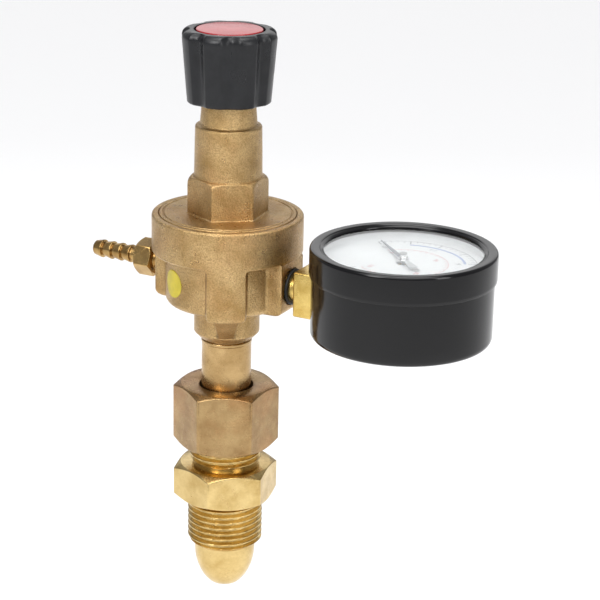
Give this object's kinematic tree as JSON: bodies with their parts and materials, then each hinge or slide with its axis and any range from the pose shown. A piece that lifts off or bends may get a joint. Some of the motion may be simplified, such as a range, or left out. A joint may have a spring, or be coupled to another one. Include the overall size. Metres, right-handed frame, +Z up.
{
  "type": "gas cylinder pressure regulator",
  "caption": "Upright gas cylinder regulator: bullnose inlet with union nut, round body with hose barb, lobed adjusting knob on top and a side pressure gauge with its dial facing up.",
  "frame": {"origin": "on the main axis at the middle of the thread that screws into the cylinder's valve", "axes": "+Z up the main axis from the cylinder's valve to the knob, +X towards the gauge, so the hose barb points along -X; the dial faces +Z"},
  "size_m": [0.1303, 0.0538, 0.1752],
  "materials": {
    "turned_brass": "fine lathe lines, light yellow, satin",
    "nut_brass": "brown-toned machined brass, satin",
    "stem_brass": "turned, warm, satin",
    "forged_brass": "grit-blasted forging, mottled, matt",
    "block_brass": "bright machined brass",
    "barb_brass": "turned brass, bright crests",
    "inner_brass": "machined brass",
    "sintered_bronze": "granular",
    "plain_steel": "machined steel",
    "spring_steel": "drawn wire",
    "bright_hub": "bright plated",
    "black_enamel": "glossy black enamel",
    "dial_white": "satin white with printed scale",
    "pointer_paint": "dark satin",
    "window_glass": "clear flat glass",
    "knob_plastic": "fine matt texture, polished top edge",
    "cap_plastic": "glossy red",
    "white_nylon": "natural nylon",
    "black_rubber": "matt",
    "yellow_mark": "flat yellow disc"
  },
  "bodies": {
    "adapter": {"bullnose_adapter": "turned_brass", "union_washer": "white_nylon"},
    "slip_ring": {"slip_ring": "plain_steel"},
    "union_nut": {"union_nut": "nut_brass"},
    "regulator": {"inlet_stem": "stem_brass", "inlet_filter": "sintered_bronze", "regulator_body": "forged_brass", "marking_dot": "yellow_mark", "valve_seat": "inner_brass", "seat_o_ring": "black_rubber", "poppet_spring": "spring_steel", "diaphragm": "black_rubber", "slip_washer": "plain_steel", "bonnet": "forged_brass", "adjusting_spring": "spring_steel", "barb_washer": "black_rubber", "hose_barb": "barb_brass", "gauge_washer": "black_rubber", "gauge_socket": "block_brass", "gauge_case": "black_enamel", "case_screws": "plain_steel", "gauge_bezel": "black_enamel", "gauge_window": "window_glass", "window_gasket": "black_rubber", "gauge_dial": "dial_white", "dial_screws": "plain_steel", "bourdon_tube": "inner_brass", "movement_base": "inner_brass", "movement_top": "inner_brass", "movement_pillars": "inner_brass", "movement_screws": "plain_steel"},
    "valve": {"poppet": "inner_brass", "poppet_seal": "white_nylon", "valve_pin": "plain_steel", "diaphragm_stud": "inner_brass", "spring_plate": "plain_steel"},
    "spring_button": {"spring_button": "plain_steel"},
    "knob": {"spindle": "plain_steel", "knob": "knob_plastic", "knob_washer": "plain_steel", "knob_screw": "plain_steel", "knob_cap": "cap_plastic"},
    "pointer": {"pinion_shaft": "plain_steel", "hairspring": "spring_steel", "pointer": "pointer_paint", "pointer_cap": "bright_hub"},
    "sector": {"sector_gear": "inner_brass", "link_pins": "plain_steel"},
    "link": {"tube_link": "plain_steel"},
    "tube_tip": {"tube_tip": "inner_brass"}
  },
  "joints": [
    {"name": "body_swivel", "type": "hinge", "parent": "adapter", "child": "regulator", "pos_m": [0, 0, 0.03645], "axis": [0, 0, 1], "continuous": true},
    {"name": "nut_lift", "type": "slide", "parent": "adapter", "child": "slip_ring", "axis": [0, 0, 1], "range_m": [0, 0.00726]},
    {"name": "nut_turn", "type": "hinge", "parent": "slip_ring", "child": "union_nut", "pos_m": [0, 0, 0.04025], "axis": [0, 0, 1], "range_deg": [0, 1440]},
    {"name": "valve_stroke", "type": "slide", "parent": "regulator", "child": "valve", "axis": [0, 0, 1], "range_m": [-0.0007, 0], "stiffness_N_per_m": 1500, "springref_m": 0.001, "deforming": ["diaphragm", "poppet_spring"]},
    {"name": "button_feed", "type": "slide", "parent": "regulator", "child": "spring_button", "axis": [0, 0, 1], "range_m": [-0.00376, 0.00126], "deforming": ["adjusting_spring"]},
    {"name": "knob_turn", "type": "hinge", "parent": "spring_button", "child": "knob", "pos_m": [0, 0, 0.1206], "axis": [0, 0, 1], "range_deg": [-1080, 360]},
    {"name": "sector_turn", "type": "hinge", "parent": "regulator", "child": "sector", "pos_m": [0.04739, -0.00705, 0.08295], "axis": [0, 0, 1], "range_deg": [0, 38.57], "deforming": ["bourdon_tube"]},
    {"name": "pointer_turn", "type": "hinge", "parent": "regulator", "child": "pointer", "pos_m": [0.0571, 0, 0.08295], "axis": [0, 0, -1], "range_deg": [0, 270]},
    {"name": "link_swing", "type": "hinge", "parent": "sector", "child": "link", "pos_m": [0.0455, -0.01125, 0.08395], "axis": [0, 0, 1], "range_deg": [-34.64, 0]},
    {"name": "tip_swing", "type": "hinge", "parent": "regulator", "child": "tube_tip", "pos_m": [0.05643, 0.00606, 0.07995], "axis": [0, 0, 1], "range_deg": [0, 8.71]}
  ],
  "couplings": [
    {"joint": "nut_lift", "follows": "nut_turn", "m_per_rad": 0.00028871},
    {"joint": "button_feed", "follows": "knob_turn", "m_per_rad": 0.00019894},
    {"joint": "pointer_turn", "follows": "sector_turn", "ratio": 7},
    {"joint": "link_swing", "follows": "sector_turn", "ratio": -0.89779},
    {"joint": "tip_swing", "follows": "sector_turn", "ratio": 0.22556}
  ]
}
